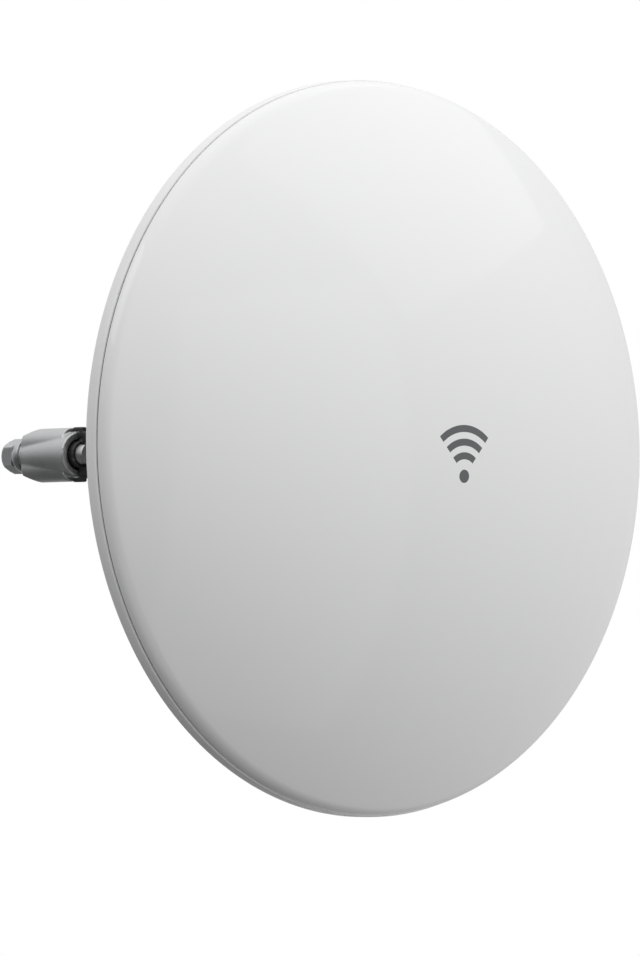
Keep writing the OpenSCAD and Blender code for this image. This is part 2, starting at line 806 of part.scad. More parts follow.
radome();
seam_gasket();
reflector();
rear_shell();
feed_tube();
feed_screws();
feed_board();
feed_cap();
sub_reflector();
rear_housing();
housing_gasket();
housing_screws();
radio_board();
board_screws();
shield_cans();
heat_spreader();
transformer();
capacitors();
ethernet_jack();
jack_contacts();
light_pipes();
reset_switch();
reset_button();
cable_grommet();
port_door();
ground_screw();
ground_washer();
vent_plug();
tilt_arm();
tilt_arm_screws();
tilt_washers();
pivot_bolt();
lock_washer();
lock_knob();
knob_insert();
pole_bracket();
clamp_inserts();
clamp_jaw();
clamp_washers();
clamp_bolt_left();
clamp_bolt_right();
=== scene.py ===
"""Looks for an outdoor wireless bridge: a dish under a glossy white dome, on a two-bolt pole clamp.

Everything is in metres in the row frame: +Z runs up the pole, the dish looks along -Y, and the
origin is on the pole's axis at the middle of the clamp. The dome, the rear shell and the larger
bolts are built here from outlines. The other moulded and cast pieces are softened copies of their
CAD nodes, and the rest keep their CAD meshes. Every piece gets a procedural finish.
"""

import json
import math

import bmesh
import bpy
from mathutils import Matrix, Vector

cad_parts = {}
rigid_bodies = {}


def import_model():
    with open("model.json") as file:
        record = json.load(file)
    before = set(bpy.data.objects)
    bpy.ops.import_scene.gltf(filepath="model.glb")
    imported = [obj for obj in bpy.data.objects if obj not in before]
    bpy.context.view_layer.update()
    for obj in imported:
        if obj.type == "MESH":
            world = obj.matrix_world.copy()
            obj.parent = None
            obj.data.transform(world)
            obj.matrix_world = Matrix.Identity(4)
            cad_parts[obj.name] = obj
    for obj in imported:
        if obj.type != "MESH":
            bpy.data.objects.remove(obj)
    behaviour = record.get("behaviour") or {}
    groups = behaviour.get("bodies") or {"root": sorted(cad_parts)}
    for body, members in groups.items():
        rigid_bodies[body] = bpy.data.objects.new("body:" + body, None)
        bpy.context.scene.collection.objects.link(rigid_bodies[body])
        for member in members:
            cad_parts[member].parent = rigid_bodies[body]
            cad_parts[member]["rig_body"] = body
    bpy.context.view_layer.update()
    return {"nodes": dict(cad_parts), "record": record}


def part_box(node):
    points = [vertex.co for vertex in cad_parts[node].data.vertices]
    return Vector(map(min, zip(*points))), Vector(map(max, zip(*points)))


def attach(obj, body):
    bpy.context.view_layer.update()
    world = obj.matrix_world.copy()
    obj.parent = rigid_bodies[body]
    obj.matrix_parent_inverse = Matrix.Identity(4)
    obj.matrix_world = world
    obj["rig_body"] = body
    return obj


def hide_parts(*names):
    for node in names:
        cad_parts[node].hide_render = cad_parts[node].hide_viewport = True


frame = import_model()
nodes = frame["nodes"]
slot_of = {s["node"]: s["material_slot"] for s in frame["record"]["subparts"]}
body_of = {n: o["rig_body"] for n, o in nodes.items()}

MM = 0.001
scene = bpy.context.scene

# ---------------------------------------------------------------- sizes of the dish
dome_low, dome_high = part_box("radome")
seam_low, seam_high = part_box("seam_gasket")
shell_low, shell_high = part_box("rear_shell")
SEAM_Y = (seam_low.y + seam_high.y) / 2
HALF_GAP = (seam_high.y - seam_low.y) / 2
APEX_Z = SEAM_Y - dome_low.y
DOME_R = (dome_high.x - dome_low.x) / 2
SPIGOT_Z = SEAM_Y - dome_high.y
RIM_R = (shell_high.x - shell_low.x) / 2
LAND_Z = SEAM_Y - shell_high.y

WALL = 2 * MM
SOFT_EDGE = 0.25 * MM
SOFT_STEP = 0.3  # how far along a soft edge its middle point lies
DISH_SEGMENTS = 320

# The dome's rounded edge, and the spigot that plugs into the shell's rim
DOME_EDGE = 5 * MM
DOME_STEPS = 72
DOME_EDGE_STEPS = 14
SPIGOT_INSET = 1.6 * MM
SPIGOT_T = 1.7 * MM

# The shell's paraboloid bowl, which holds the reflector
BOWL_R = RIM_R - 4.5 * MM
BOWL_DEPTH = 45 * MM
BOWL_STEPS = 60
BOWL_FOOT_STEPS = 24
REFLECTOR_T = 1 * MM
LINER_GAP = 0.3 * MM
FEED_HOLE_R = 12.2 * MM

# The shell's rim with its channel for the spigot, and the flat land under the rear housing
RIM_BAND = 4.2 * MM
RIM_ROUND = 1 * MM
RIM_STEPS = 8
CHANNEL_R = RIM_R - 1.7 * MM
CHANNEL_DEPTH = 3 * MM
CHANNEL_GAP = 0.4 * MM
LAND_R = 43.5 * MM
LAND_ROUND = 0.8 * MM

CORNER_STEPS = 5

# Local z runs forwards from the seam, local y up and local x to the right
HEAD = Matrix(((1, 0, 0, 0), (0, 0, -1, SEAM_Y), (0, 1, 0, 0), (0, 0, 0, 1)))

# ---------------------------------------------------------------- materials
MIX_FACTOR, MIX_FIRST, MIX_SECOND, MIX_RESULT = 0, 6, 7, 2  # a colour Mix node's sockets


class Graph:
    """A small helper round one material's node tree."""

    def __init__(self, name):
        self.material = bpy.data.materials.new(name)
        self.material.use_nodes = True
        self.tree = self.material.node_tree
        self.shader = self.tree.nodes["Principled BSDF"]
        coords = self.tree.nodes.new("ShaderNodeTexCoord")
        self.coords = coords.outputs["Object"]

    def node(self, kind, inputs=None, **settings):
        made = self.tree.nodes.new("ShaderNode" + kind)
        for key, value in settings.items():
            setattr(made, key, value)
        for key, value in (inputs or {}).items():
            self.feed(made.inputs[key], value)
        return made

    def feed(self, socket, value):
        """Links the value if it's another node's output, and sets it otherwise."""
        if isinstance(value, bpy.types.NodeSocket):
            self.tree.links.new(value, socket)
        else:
            socket.default_value = value

    def math(self, operation, *values):
        made = self.node("Math", operation=operation)
        for socket, value in zip(made.inputs, values):
            self.feed(socket, value)
        return made.outputs[0]

    def reach(self, x, z):
        """Distance from the origin in the plane of x and z."""
        squares = self.math("MULTIPLY", x, x), self.math("MULTIPLY", z, z)
        return self.math("SQRT", self.math("ADD", *squares))

    def noise(self, scale, detail=3.0, rough=0.55, vector=None):
        feeds = {
            "Vector": vector or self.coords,
            "Scale": scale,
            "Detail": detail,
            "Roughness": rough,
        }
        return self.node("TexNoise", feeds).outputs["Fac"]

    def spread(self, value, low, high, to_low, to_high):
        """Maps low..high smoothly onto to_low..to_high."""
        feeds = {
            "Value": value,
            "From Min": low,
            "From Max": high,
            "To Min": to_low,
            "To Max": to_high,
        }
        return self.node("MapRange", feeds, interpolation_type="SMOOTHSTEP").outputs["Result"]

    def blend(self, factor, first, second):
        made = self.node("Mix", data_type="RGBA")
        self.feed(made.inputs[MIX_FACTOR], factor)
        self.feed(made.inputs[MIX_FIRST], first)
        self.feed(made.inputs[MIX_SECOND], second)
        return made.outputs[MIX_RESULT]

    def stretched(self, x, y, z):
        return self.node("Mapping", {"Vector": self.coords, "Scale": (x, y, z)}).outputs[0]

    def xyz(self):
        return self.node("SeparateXYZ", {"Vector": self.coords}).outputs

    def bump(self, height, depth):
        feeds = {"Height": height, "Distance": depth, "Strength": 1.0}
        return self.node("Bump", feeds).outputs["Normal"]

    def set(self, **values):
        """Feeds the shader's inputs, with _ for the spaces in their names."""
        for key, value in values.items():
            self.feed(self.shader.inputs[key.replace("_", " ")], value)


def shade(color, factor):
    return tuple(min(1.0, c * factor) for c in color) + (1.0,)


MOTTLE_SCALE = 70.0
TOOLING_SHARE = 2.5
WEAR_FROM, WEAR_TO, WEAR_MOST = 0.56, 0.64, 0.8  # the first two are pointiness at an edge
WEAR_PATCH_SCALE, WEAR_PATCH_SHARE = 420.0, 0.06
WEAR_POLISH = 0.08
THIN_COAT_ROUGHNESS = 0.08


def surface(name, color, rough, grain_mm, depth, metallic=0.0, tint=0.04, wear=None, lines=None,
            coat=0.0, spread=0.06):
    """One finish: grain of that size, bumps of that depth in metres, broad mottling, worn edges.

    tint and spread are how far the mottling moves the colour and the roughness. wear is the colour
    that shows along edges. lines gives the scales along x, y and z of fine tooling marks.
    """
    g = Graph(name)
    broad = g.noise(MOTTLE_SCALE, 4.0)
    fine = g.noise(1 / (grain_mm * MM), 4.0, 0.6)
    height = fine
    if lines:
        marks = g.noise(1.0, 3.0, 0.6, g.stretched(*lines))
        height = g.math("ADD", fine, g.math("MULTIPLY", marks, TOOLING_SHARE))
    mottle = g.spread(broad, 0.3, 0.7, 0.0, 1.0)
    base = g.blend(mottle, shade(color, 1 - tint), shade(color, 1 + tint))
    mix = g.math("ADD", g.math("MULTIPLY", broad, 0.6), g.math("MULTIPLY", fine, 0.4))
    roughness = g.spread(mix, 0.35, 0.65, rough - spread, rough + spread)
    if wear:
        point = g.node("NewGeometry").outputs["Pointiness"]
        patchy = g.math("MULTIPLY", g.noise(WEAR_PATCH_SCALE, 5.0, 0.7), WEAR_PATCH_SHARE)
        edge = g.spread(g.math("ADD", point, patchy), WEAR_FROM, WEAR_TO, 0.0, WEAR_MOST)
        base = g.blend(edge, base, tuple(wear) + (1.0,))
        roughness = g.math("SUBTRACT", roughness, g.math("MULTIPLY", edge, WEAR_POLISH))
    g.set(Base_Color=base, Roughness=roughness, Normal=g.bump(height, depth), Metallic=metallic,
          Coat_Weight=coat, Coat_Roughness=THIN_COAT_ROUGHNESS, IOR=1.5)
    return g.material


MARK_R = 12.4 * MM
MARK_BANDS = (0.70, 0.98, 0.42)  # the arcs' radii, as shares of MARK_R
MARK_DROP = 1.7 * MM
MARK_STROKE = 1.8 * MM
MARK_DOT = 1.7 * MM
MARK_SPREAD = 0.85  # half width of the wedge that cuts the arcs, over its height
MARK_GREY = (0.07, 0.072, 0.078, 1)


def printed_mark(g):
    """A small generic signal sign: the mask of a dot under three arcs."""
    x, _, z = g.xyz()
    z = g.math("ADD", z, MARK_DROP + MARK_R / 2)
    reach = g.reach(x, z)
    wedge = g.math("GREATER_THAN", g.math("MULTIPLY", z, MARK_SPREAD), g.math("ABSOLUTE", x))
    dot = g.math("LESS_THAN", reach, MARK_DOT)
    first, second, third = (
        g.math("COMPARE", reach, MARK_R * share, MARK_STROKE / 2) for share in MARK_BANDS
    )
    bands = g.math("ADD", g.math("ADD", first, second), third)
    return g.math("MAXIMUM", dot, g.math("MULTIPLY", bands, wedge))


DOME_WHITES = (0.892, 0.894, 0.896, 1), (0.899, 0.9, 0.9, 1)
DUST = (0.72, 0.70, 0.67, 1)
DOME_ROUGHNESS = 0.3, 0.36


def dome_finish():
    """Glossy white moulded plastic with faint orange peel, a little dust and the printed sign."""
    g = Graph("dome_white_gloss")
    broad = g.noise(18.0, 3.0)
    peel = g.noise(210.0, 2.0, 0.4)
    specks = g.spread(g.noise(1900.0, 2.0, 0.8), 0.70, 0.78, 0.0, 0.12)
    base = g.blend(g.spread(broad, 0.2, 0.8, 0.0, 1.0), *DOME_WHITES)
    base = g.blend(specks, base, DUST)
    base = g.blend(printed_mark(g), base, MARK_GREY)
    roughness = g.spread(g.math("ADD", broad, specks), 0.3, 0.7, *DOME_ROUGHNESS)
    g.set(Base_Color=base, Roughness=roughness, Normal=g.bump(peel, 3e-6), Coat_Weight=1.0,
          Coat_Roughness=0.02, Coat_IOR=1.5, IOR=1.46)
    return g.material


MASK_GREEN = (0.012, 0.085, 0.035, 1)
TRACK_GREEN = (0.03, 0.19, 0.075, 1)
PAD_GOLD = (0.8, 0.6, 0.28, 1)


def board_finish():
    """Solder mask over copper tracks, with bare gold pads."""
    g = Graph("circuit_board_mask")
    tracks = g.node("TexVoronoi", {"Vector": g.coords, "Scale": 260.0, "Randomness": 0.35},
                    feature="DISTANCE_TO_EDGE", distance="MANHATTAN").outputs["Distance"]
    line = g.spread(tracks, 0.03, 0.07, 1.0, 0.0)
    pads = g.node("TexVoronoi", {"Vector": g.coords, "Scale": 330.0},
                  distance="CHEBYCHEV").outputs["Distance"]
    pad = g.spread(pads, 0.13, 0.15, 1.0, 0.0)
    base = g.blend(line, MASK_GREEN, TRACK_GREEN)
    base = g.blend(pad, base, PAD_GOLD)
    height = g.math("ADD", g.math("MULTIPLY", line, 0.4), g.noise(2500.0))
    g.set(Base_Color=base, Metallic=g.math("MULTIPLY", pad, 0.9), Normal=g.bump(height, 2e-5),
          Roughness=g.spread(g.noise(120.0), 0.3, 0.7, 0.28, 0.42))
    return g.material


SPUN_GREYS = (0.76, 0.77, 0.78, 1), (0.86, 0.865, 0.87, 1)


def spun_finish():
    """Sheet aluminium with the fine rings that spinning leaves round the dish's axis."""
    g = Graph("sheet_aluminium_spun")
    x, _, z = g.xyz()
    rings = g.node("TexNoise", {"W": g.reach(x, z), "Scale": 1500.0, "Detail": 3.0},
                   noise_dimensions="1D").outputs["Fac"]
    broad = g.noise(50.0)
    g.set(Base_Color=g.blend(broad, *SPUN_GREYS), Metallic=1.0, Normal=g.bump(rings, 2e-5),
          Roughness=g.spread(g.math("ADD", rings, broad), 0.7, 1.3, 0.24, 0.4))
    return g.material


CLEAR_TINTS = (0.80, 0.87, 0.90, 1), (0.90, 0.94, 0.95, 1)


def clear_finish():
    """Polished light pipe, slightly milky inside."""
    g = Graph("clear_plastic_polished")
    fine = g.noise(900.0)
    g.set(Base_Color=g.blend(fine, *CLEAR_TINTS), Transmission_Weight=0.75,
          Roughness=g.spread(fine, 0.3, 0.7, 0.06, 0.16), Normal=g.bump(fine, 4e-6), IOR=1.49)
    return g.material


DARK_EDGE = (0.12, 0.12, 0.125)

# slot: material name, colour, roughness, grain in mm, bump depth, and what else surface() takes
SURFACES = {
    "shell_white": (
        "shell_white_satin", (0.88, 0.88, 0.885), 0.32, 0.35, 5e-6,
        {"tint": 0.012, "coat": 0.25}),
    "housing_white": (
        "housing_white_grain", (0.83, 0.83, 0.83), 0.46, 0.28, 2.4e-5,
        {"tint": 0.015}),
    "door_grey": (
        "door_grey_grain", (0.62, 0.63, 0.64), 0.5, 0.28, 2.4e-5,
        {"tint": 0.02}),
    "feed_plastic": (
        "feed_plastic_moulded", (0.80, 0.80, 0.78), 0.45, 0.4, 1e-5,
        {}),
    "dielectric_ivory": (
        "dielectric_ivory_moulded", (0.80, 0.76, 0.66), 0.4, 0.4, 1e-5,
        {}),
    "cast_grey": (
        "cast_grey_satin", (0.53, 0.535, 0.54), 0.4, 0.42, 3.2e-5,
        {"metallic": 0.92, "tint": 0.06, "wear": (0.74, 0.74, 0.745), "spread": 0.07}),
    "bracket_black": (
        "bracket_black_satin", (0.022, 0.022, 0.024), 0.42, 0.3, 2.2e-5,
        {"tint": 0.15, "wear": DARK_EDGE}),
    "knob_black": (
        "knob_black_satin", (0.03, 0.03, 0.032), 0.38, 0.3, 2e-5,
        {"tint": 0.1, "wear": DARK_EDGE}),
    "zinc_steel": (
        "zinc_steel_plated", (0.46, 0.465, 0.475), 0.27, 0.5, 8e-6,
        {"metallic": 1.0, "tint": 0.05, "wear": (0.66, 0.66, 0.66), "lines": (900, 5200, 900)}),
    "stainless_steel": (
        "stainless_steel_turned", (0.66, 0.655, 0.645), 0.24, 0.5, 7e-6,
        {"metallic": 1.0, "wear": (0.8, 0.8, 0.8), "lines": (5200, 900, 900)}),
    "tinned_steel": (
        "tinned_steel_sheet", (0.72, 0.72, 0.71), 0.3, 0.8, 8e-6,
        {"metallic": 1.0, "lines": (400, 400, 3000)}),
    "brass": (
        "brass_turned", (0.74, 0.56, 0.27), 0.28, 0.5, 8e-6,
        {"metallic": 1.0, "tint": 0.06, "wear": (0.86, 0.7, 0.4), "lines": (900, 5000, 900)}),
    "contact_gold": (
        "contact_gold_plated", (0.85, 0.64, 0.30), 0.2, 0.3, 4e-6,
        {"metallic": 1.0}),
    "rubber_grey": (
        "rubber_grey_matt", (0.13, 0.13, 0.13), 0.75, 0.2, 2.5e-5,
        {"tint": 0.1}),
    "rubber_black": (
        "rubber_black_matt", (0.02, 0.02, 0.02), 0.7, 0.22, 3e-5,
        {"tint": 0.12, "wear": (0.06, 0.06, 0.06)}),
    "component_black": (
        "component_black_moulded", (0.03, 0.03, 0.033), 0.45, 0.25, 2e-5,
        {"tint": 0.12}),
    "capacitor_sleeve": (
        "capacitor_sleeve_shrunk", (0.03, 0.05, 0.15), 0.25, 0.9, 6e-6,
        {"tint": 0.1}),
    "button_red": (
        "button_red_moulded", (0.5, 0.04, 0.035), 0.35, 0.3, 1e-5,
        {"tint": 0.08}),
}

finishes = {
    "dome_white": dome_finish(),
    "circuit_board": board_finish(),
    "sheet_aluminium": spun_finish(),
    "clear_plastic": clear_finish(),
}
for slot, (*basics, extras) in SURFACES.items():
    finishes[slot] = surface(*basics, **extras)

for node, obj in nodes.items():
    for place in obj.material_slots:
        place.link = "OBJECT"
        place.material = finishes[slot_of[node]]

# ---------------------------------------------------------------- mesh building
BUILT_WELD = 1e-7
DEGENERATE = 1e-8
CAD_WELD = 1e-6


def show(name, mesh, node, sharp=None):
    """Makes one piece from a mesh in the row frame. It stands for a CAD node, on its body.

    Edges that turn by more than sharp degrees stay crisp.
    """
    obj = bpy.data.objects.new(name, mesh)
    scene.collection.objects.link(obj)
    mesh.materials.clear()
    mesh.materials.append(finishes[slot_of[node]])
    mesh.shade_smooth()
    if sharp:
        mesh.set_sharp_from_angle(angle=math.radians(sharp))
    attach(obj, body_of[node])
    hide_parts(node)


def cleaned(name, bm, place):
    """Welds a bmesh, turns its faces outwards and moves it to its place as a mesh."""
    bmesh.ops.remove_doubles(bm, verts=bm.verts, dist=BUILT_WELD)
    bmesh.ops.dissolve_degenerate(bm, edges=bm.edges, dist=DEGENERATE)
    bmesh.ops.recalc_face_normals(bm, faces=bm.faces)
    mesh = bpy.data.meshes.new(name)
    bm.to_mesh(mesh)
    bm.free()
    mesh.transform(place)
    return mesh


def add_rings(bm, rings, closed):
    """Skins a stack of rings of points.

    closed joins the last ring to the first; otherwise both ends get a cap.
    """
    rows = [[bm.verts.new(p) for p in ring] for ring in rings]
    count = len(rows[0])
    pairs = list(zip(rows, rows[1:])) + ([(rows[-1], rows[0])] if closed else [])
    for below, above in pairs:
        for i in range(count):
            j = (i + 1) % count
            bm.faces.new((below[i], below[j], above[j], above[i]))
    if not closed:
        bm.faces.new(rows[0][::-1])
        bm.faces.new(rows[-1])


def turned(name, outline):
    """Revolves a closed outline of (radius, height) points round the dish's axis."""
    angles = [2 * math.pi * i / DISH_SEGMENTS for i in range(DISH_SEGMENTS)]
    turns = [(math.cos(a), math.sin(a)) for a in angles]
    bm = bmesh.new()
    add_rings(bm, [[(r * c, r * s, z) for c, s in turns] for r, z in outline], closed=True)
    return cleaned(name, bm, HEAD)


def arc(centre_r, centre_z, radius, start, end, steps):
    """Points along an arc in the (radius, height) plane, in degrees from the r axis."""
    angles = [math.radians(start + (end - start) * i / steps) for i in range(steps + 1)]
    return [(centre_r + radius * math.cos(a), centre_z + radius * math.sin(a)) for a in angles]


def rounded(points, radii):
    """Rounds corners of a closed outline, with radii giving each one's size by its index."""
    made = []
    for i, point in enumerate(points):
        if i not in radii:
            made.append(point)
            continue
        p = Vector(point)
        before = Vector(points[i - 1]) - p
        after = Vector(points[(i + 1) % len(points)]) - p
        start, end = p + before.normalized() * radii[i], p + after.normalized() * radii[i]
        for k in range(CORNER_STEPS + 1):
            t = k / CORNER_STEPS
            made.append(tuple(start * (1 - t) ** 2 + p * 2 * t * (1 - t) + end * t * t))
    return made


# ---------------------------------------------------------------- the dome and the rear shell
def dome_curve(radius, height, edge):
    """A spherical cap that runs smoothly into a rounded edge, from the axis down to the seam."""
    cap_r = ((radius - edge) ** 2 + height**2 - edge**2) / (2 * (height - edge))
    lean = math.degrees(math.atan2(radius - edge, cap_r - height))
    cap = arc(0, HALF_GAP + height - cap_r, cap_r, 90, 90 - lean, DOME_STEPS)
    return cap[:-1] + arc(radius - edge, HALF_GAP, edge, 90 - lean, 0, DOME_EDGE_STEPS)


def build_dome():
    top = APEX_Z - HALF_GAP
    outer = dome_curve(DOME_R, top, DOME_EDGE)
    # The moulding's open edge is slightly rounded where it meets the seam
    outer[-1] = (DOME_R, HALF_GAP + SOFT_EDGE)
    outer += [(DOME_R - SOFT_EDGE * SOFT_STEP, HALF_GAP + SOFT_EDGE * SOFT_STEP),
              (DOME_R - SOFT_EDGE, HALF_GAP)]
    spigot_r = DOME_R - SPIGOT_INSET
    spigot = rounded(
        [(spigot_r, HALF_GAP), (spigot_r, SPIGOT_Z), (spigot_r - SPIGOT_T, SPIGOT_Z),
         (spigot_r - SPIGOT_T, HALF_GAP + WALL)],
        {1: SOFT_EDGE, 2: SOFT_EDGE})
    inner = dome_curve(DOME_R - WALL, top - WALL, DOME_EDGE - WALL)[::-1]
    inner = [p for p in inner if p[1] > HALF_GAP + WALL]
    return turned("radome_shell", outer + spigot + inner)


def bowl_z(r):
    """The bowl's height at a radius, where the reflector's face would be."""
    return -BOWL_DEPTH * (1 - (r / BOWL_R) ** 2)


def bowl_reach(z, drop):
    """The radius at which a surface that much lower than the bowl reaches a height."""
    return BOWL_R * math.sqrt(1 + (z + drop) / BOWL_DEPTH)


def bowl_curve(start, end, drop, steps):
    reaches = [start + (end - start) * i / steps for i in range(steps + 1)]
    return [(r, bowl_z(r) - drop) for r in reaches]


def build_shell():
    inside = REFLECTOR_T + LINER_GAP
    back = inside + WALL
    liner_r = BOWL_R + CHANNEL_GAP
    inner = [(CHANNEL_R, -HALF_GAP), (CHANNEL_R, -CHANNEL_DEPTH), (liner_r, -CHANNEL_DEPTH),
             (liner_r, -inside)]
    inner += bowl_curve(BOWL_R, FEED_HOLE_R, inside, BOWL_STEPS)
    outer = bowl_curve(FEED_HOLE_R, bowl_reach(LAND_Z, back), back, BOWL_FOOT_STEPS)
    land_corner = len(inner) + len(outer)
    outer += [(LAND_R, LAND_Z)]
    outer += bowl_curve(LAND_R, bowl_reach(-RIM_BAND, back), back, BOWL_STEPS)
    # The rim band: a small hollow behind it, then a rounded lip and a soft seam edge
    lip = arc(RIM_R - RIM_ROUND, RIM_ROUND - RIM_BAND, RIM_ROUND, -90, 0, RIM_STEPS)
    seam = [(RIM_R, -HALF_GAP - SOFT_EDGE),
            (RIM_R - SOFT_EDGE * SOFT_STEP, -HALF_GAP - SOFT_EDGE * SOFT_STEP),
            (RIM_R - SOFT_EDGE, -HALF_GAP)]
    outline = rounded(inner + outer + lip + seam, {land_corner: LAND_ROUND})
    return turned("rear_shell_shell", outline)


# ---------------------------------------------------------------- softened CAD pieces
SOFT_FACES_MOST = 95000

# node: voxel size in mm and rounds of smoothing
SOFTENED = {
    "clamp_jaw": (0.26, 2),
    "pole_bracket": (0.28, 3),
    "tilt_arm": (0.30, 3),
    "rear_housing": (0.42, 3),
    "port_door": (0.22, 3),
    "lock_knob": (0.24, 4),
    "cable_grommet": (0.24, 4),
}


def weld(mesh):
    bm = bmesh.new()
    bm.from_mesh(mesh)
    bmesh.ops.remove_doubles(bm, verts=bm.verts, dist=CAD_WELD)
    bm.to_mesh(mesh)
    bm.free()


def softened(node, voxel_mm, rounds):
    """A moulded or cast copy of a CAD node: the same shape with its edges softened all over."""
    mesh = nodes[node].data.copy()
    weld(mesh)
    rough_copy = bpy.data.objects.new(node + "_rough", mesh)
    scene.collection.objects.link(rough_copy)
    remesh = rough_copy.modifiers.new("remesh", "REMESH")
    remesh.mode = "VOXEL"
    remesh.voxel_size = voxel_mm * MM
    smooth = rough_copy.modifiers.new("smooth", "SMOOTH")
    smooth.factor = 0.5
    smooth.iterations = rounds
    evaluated = rough_copy.evaluated_get(bpy.context.evaluated_depsgraph_get())
    faces = len(evaluated.data.polygons)
    if faces > SOFT_FACES_MOST:
        thin = rough_copy.modifiers.new("thin", "DECIMATE")
        thin.ratio = SOFT_FACES_MOST / faces
        evaluated = rough_copy.evaluated_get(bpy.context.evaluated_depsgraph_get())
    made = bpy.data.meshes.new_from_object(evaluated)
    bpy.data.objects.remove(rough_copy)
    show(node + "_soft", made, node)


# ---------------------------------------------------------------- threaded and hexagonal hardware
HARDWARE_SEGMENTS = 96
THREAD_STEPS = 8
THREAD_DEPTH = 0.58  # as a share of the pitch

BOLT_R = 2.5 * MM
BOLT_PITCH = 0.8 * MM
BOLT_CHAMFER = 0.45 * MM
BOLT_PLAIN = 3 * MM
BOLT_ACROSS = 8 * MM
BOLT_HEX_H = 4 * MM
BOLT_HEX_SINK = 0.2 * MM
BOLT_FLANGE_T = 2.8 * MM
# Heights above the seat in mm, with the reach there as a share of the flange's radius
BOLT_FLANGE = (0.02, 0.985), (0.25, 1), (1.4, 0.99), (2.0, 0.95), (2.5, 0.9)

PIVOT_R = 3 * MM
PIVOT_PITCH = 1 * MM
PIVOT_CHAMFER = 0.5 * MM
PIVOT_THREAD_X = 12 * MM
PIVOT_ACROSS = 10 * MM
PIVOT_HEX_H = 4 * MM


def hex_reach(across, angle):
    """How far a hexagon of that width reaches at an angle."""
    sixth = math.pi / 3
    return across / 2 / math.cos((angle + sixth / 2) % sixth - sixth / 2)


def hexagonal(across, limit, turn):
    """A hexagon whose corners are turned off at a radius."""
    return lambda a: min(hex_reach(across, a + turn), limit)


def hardware(name, levels, place):
    """Skins a stack of levels, each (height, reach), where reach may depend on the angle."""
    angles = [2 * math.pi * i / HARDWARE_SEGMENTS for i in range(HARDWARE_SEGMENTS)]
    rings = []
    for z, reach in levels:
        radii = [reach(a) if callable(reach) else reach for a in angles]
        rings.append([(r * math.cos(a), r * math.sin(a), z) for r, a in zip(radii, angles)])
    bm = bmesh.new()
    add_rings(bm, rings, closed=False)
    return cleaned(name, bm, place)


def thread(start, end, radius, pitch, chamfer):
    """Levels of a helical thread between two heights, chamfered at its start."""
    depth = THREAD_DEPTH * pitch
    count = int((end - start) / pitch * THREAD_STEPS)

    def reach(z):
        cap = radius - max(0.0, chamfer - (z - start))
        run_out = min(1.0, (end - z) / pitch)

        def at(angle):
            phase = (z / pitch - angle / (2 * math.pi)) % 1.0
            ridge = min(1.0, max(0.0, 2.6 * abs(phase - 0.5) - 0.15))
            return min(cap, radius - depth * (1 - ridge) * run_out)

        return at

    heights = [start + (end - start) * i / count for i in range(count + 1)]
    return [(z, reach(z)) for z in heights]


def hex_levels(base, height, across, sign=1, turn=0.0):
    """A hexagonal head from its seat, with a turned chamfer and a shallow dished top."""
    half = across / 2
    corner = across / math.sqrt(3)
    rows = [(0.0, half * 0.97), (0.15 * MM, corner), (height - 1.1 * MM, corner),
            (height - 0.75 * MM, corner * 0.975), (height - 0.35 * MM, half * 1.045),
            (height - 0.08 * MM, half * 0.98), (height, half * 0.93)]
    levels = [(base + sign * h, hexagonal(across, r, turn)) for h, r in rows]
    return levels + [(base + sign * height, half * 0.72),
                     (base + sign * (height - 0.25 * MM), half * 0.62)]


def build_clamp_bolt(node):
    """M5 flange bolt. Its local z runs backwards, +Y, from the pole's axis."""
    low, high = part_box(node)
    place = Matrix(((1, 0, 0, (low.x + high.x) / 2), (0, 0, 1, 0), (0, -1, 0, 0), (0, 0, 0, 1)))
    flange_r = (high.x - low.x) / 2
    seat = high.y - BOLT_HEX_H - BOLT_FLANGE_T
    shank = seat - BOLT_PLAIN
    levels = thread(low.y, shank, BOLT_R, BOLT_PITCH, BOLT_CHAMFER)
    levels += [(shank + 0.1 * MM, BOLT_R), (seat, BOLT_R)]
    levels += [(seat + height * MM, flange_r * share) for height, share in BOLT_FLANGE]
    levels += hex_levels(seat + BOLT_FLANGE_T - BOLT_HEX_SINK, BOLT_HEX_H + BOLT_HEX_SINK,
                         BOLT_ACROSS)
    show(node + "_hex", hardware(node, levels, place), node, sharp=34)


def build_pivot_bolt():
    """M6 hex bolt along +X through the bracket's ears."""
    low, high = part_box("pivot_bolt")
    pivot = (low + high) / 2
    place = Matrix(((0, 0, 1, 0), (0, 1, 0, pivot.y), (-1, 0, 0, pivot.z), (0, 0, 0, 1)))
    seat = low.x + PIVOT_HEX_H
    levels = hex_levels(seat, PIVOT_HEX_H, PIVOT_ACROSS, sign=-1, turn=math.pi / 6)[::-1]
    levels += [(seat + 0.02 * MM, PIVOT_R)]
    # The thread's chamfer belongs at its far end, so its levels are mirrored
    run = thread(PIVOT_THREAD_X, high.x, PIVOT_R, PIVOT_PITCH, PIVOT_CHAMFER)
    levels += [(high.x - z + PIVOT_THREAD_X, r) for z, r in run][::-1]
    show("pivot_bolt_hex", hardware("pivot_bolt", levels, place), "pivot_bolt", sharp=34)


show("radome_dome", build_dome(), "radome", sharp=50)
show("rear_shell_bowl", build_shell(), "rear_shell", sharp=50)
build_clamp_bolt("clamp_bolt_left")
build_clamp_bolt("clamp_bolt_right")
build_pivot_bolt()
for node, (voxel_mm, rounds) in SOFTENED.items():
    softened(node, voxel_mm, rounds)

# ---------------------------------------------------------------- floor
FLOOR_Z = -0.34
FLOOR_HALF = 4.0
FLOOR_GREYS = (0.72, 0.72, 0.72, 1), (0.75, 0.75, 0.75, 1)


